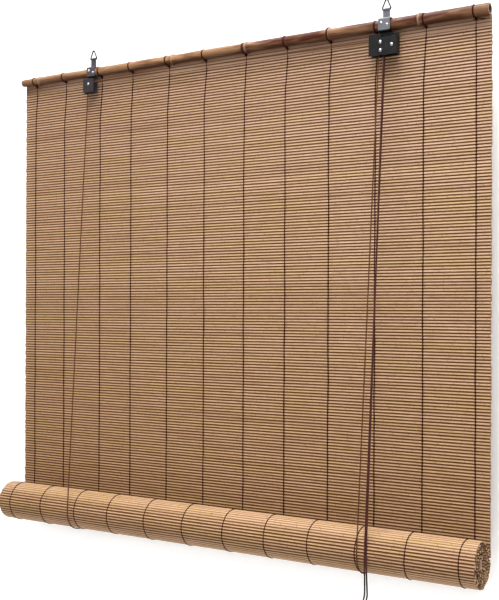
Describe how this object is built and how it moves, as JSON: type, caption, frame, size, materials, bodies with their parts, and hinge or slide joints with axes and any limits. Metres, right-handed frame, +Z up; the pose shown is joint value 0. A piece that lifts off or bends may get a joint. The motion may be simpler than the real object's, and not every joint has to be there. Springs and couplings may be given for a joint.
{
  "type": "bamboo roll-up blind",
  "caption": "Woven bamboo slat blind hung from a bamboo pole by two steel pulley brackets, partly rolled up on cords with a cord lock.",
  "frame": {"origin": "midway between the two hooks that the blind hangs on, at the inner top of the hanging rings", "axes": "+X along the width, to the right as seen from the room; -Y towards the room; +Z up"},
  "size_m": [1.201, 0.1106, 1.2442],
  "materials": {
    "bamboo_cane": "satin",
    "bamboo_slat": "matte",
    "warp_thread": "matte",
    "cord": "matte",
    "black_steel": "satin",
    "bright_steel": "polished",
    "ring_steel": "satin",
    "wheel_plastic": "matte",
    "cam_steel": "satin"
  },
  "bodies": {
    "blind": {"head_pole": "bamboo_cane", "header_lath": "bamboo_slat", "hanging_slats_1": "bamboo_slat", "hanging_slats_2": "bamboo_slat", "hanging_slats_3": "bamboo_slat", "hanging_slats_4": "bamboo_slat", "hanging_slats_5": "bamboo_slat", "hanging_slats_6": "bamboo_slat", "hanging_slats_7": "bamboo_slat", "hanging_slats_8": "bamboo_slat", "hanging_slats_9": "bamboo_slat", "warp_thread_01": "warp_thread", "warp_thread_02": "warp_thread", "warp_thread_03": "warp_thread", "warp_thread_04": "warp_thread", "warp_thread_05": "warp_thread", "warp_thread_06": "warp_thread", "warp_thread_07": "warp_thread", "warp_thread_08": "warp_thread", "warp_thread_09": "warp_thread", "warp_thread_10": "warp_thread", "warp_thread_11": "warp_thread", "warp_thread_12": "warp_thread", "left_bracket": "black_steel", "left_front_plate": "black_steel", "left_bracket_screws": "bright_steel", "left_pulley_rivet": "bright_steel", "right_bracket": "black_steel", "lock_front_plate": "black_steel", "right_bracket_screws": "bright_steel", "lock_pulley_rivet": "bright_steel", "guide_roller_rivet": "bright_steel", "lock_cam_rivet": "bright_steel", "cross_cord": "cord", "right_cord_over_wheel": "cord", "left_lift_strand": "cord", "right_lift_strand": "cord", "left_rear_strand": "cord", "right_rear_strand": "cord", "left_lift_knot": "cord", "right_lift_knot": "cord", "left_pull_run": "cord", "right_pull_run": "cord"},
    "roll_sling": {"left_lift_loop": "cord", "right_lift_loop": "cord", "left_pull_drop": "cord", "right_pull_drop": "cord", "left_pull_coil": "cord", "right_pull_coil": "cord", "left_pull_knot": "cord", "right_pull_knot": "cord", "coil_tie": "cord"},
    "roll": {"rolled_slats": "bamboo_slat", "bottom_lath": "bamboo_slat"},
    "left_ring": {"left_hanging_ring": "ring_steel"},
    "right_ring": {"right_hanging_ring": "ring_steel"},
    "left_pulley": {"left_pulley": "wheel_plastic"},
    "lock_pulley": {"lock_pulley": "wheel_plastic"},
    "guide_roller": {"guide_roller": "wheel_plastic"},
    "lock_cam": {"lock_cam": "cam_steel"}
  },
  "joints": [
    {"name": "roll_lift", "type": "slide", "parent": "blind", "child": "roll_sling", "axis": [0, 0, 1], "range_m": [0, 0.85], "deforming": ["left_lift_strand", "right_lift_strand", "left_rear_strand", "right_rear_strand", "left_pull_run", "right_pull_run", "hanging_slats_1", "hanging_slats_2", "hanging_slats_3", "hanging_slats_4", "hanging_slats_5", "hanging_slats_6", "hanging_slats_7", "hanging_slats_8", "hanging_slats_9", "warp_thread_01", "warp_thread_02", "warp_thread_03", "warp_thread_04", "warp_thread_05", "warp_thread_06", "warp_thread_07", "warp_thread_08", "warp_thread_09", "warp_thread_10", "warp_thread_11", "warp_thread_12"]},
    {"name": "roll_turn", "type": "hinge", "parent": "roll_sling", "child": "roll", "pos_m": [-0.009, -0.0366, -1.085], "axis": [1, 0, 0], "range_deg": [-1056, 0]},
    {"name": "left_ring_swing", "type": "hinge", "parent": "blind", "child": "left_ring", "pos_m": [-0.38, 0, -0.01839], "axis": [1, 0, 0], "range_deg": [-90, 90]},
    {"name": "right_ring_swing", "type": "hinge", "parent": "blind", "child": "right_ring", "pos_m": [0.38, 0, -0.01839], "axis": [1, 0, 0], "range_deg": [-90, 90]},
    {"name": "left_pulley_spin", "type": "hinge", "parent": "blind", "child": "left_pulley", "pos_m": [-0.3845, -0.00775, -0.08], "axis": [0, 1, 0], "continuous": true},
    {"name": "lock_pulley_spin", "type": "hinge", "parent": "blind", "child": "lock_pulley", "pos_m": [0.373, -0.00775, -0.0855], "axis": [0, 1, 0], "continuous": true},
    {"name": "guide_roller_spin", "type": "hinge", "parent": "blind", "child": "guide_roller", "pos_m": [0.373, -0.00775, -0.102], "axis": [0, 1, 0], "continuous": true},
    {"name": "lock_cam_swing", "type": "hinge", "parent": "blind", "child": "lock_cam", "pos_m": [0.3973, -0.00775, -0.0934], "axis": [0, -1, 0], "range_deg": [0, 32]}
  ],
  "couplings": [
    {"joint": "roll_turn", "follows": "roll_lift", "rad_per_m": -21.645}
  ]
}
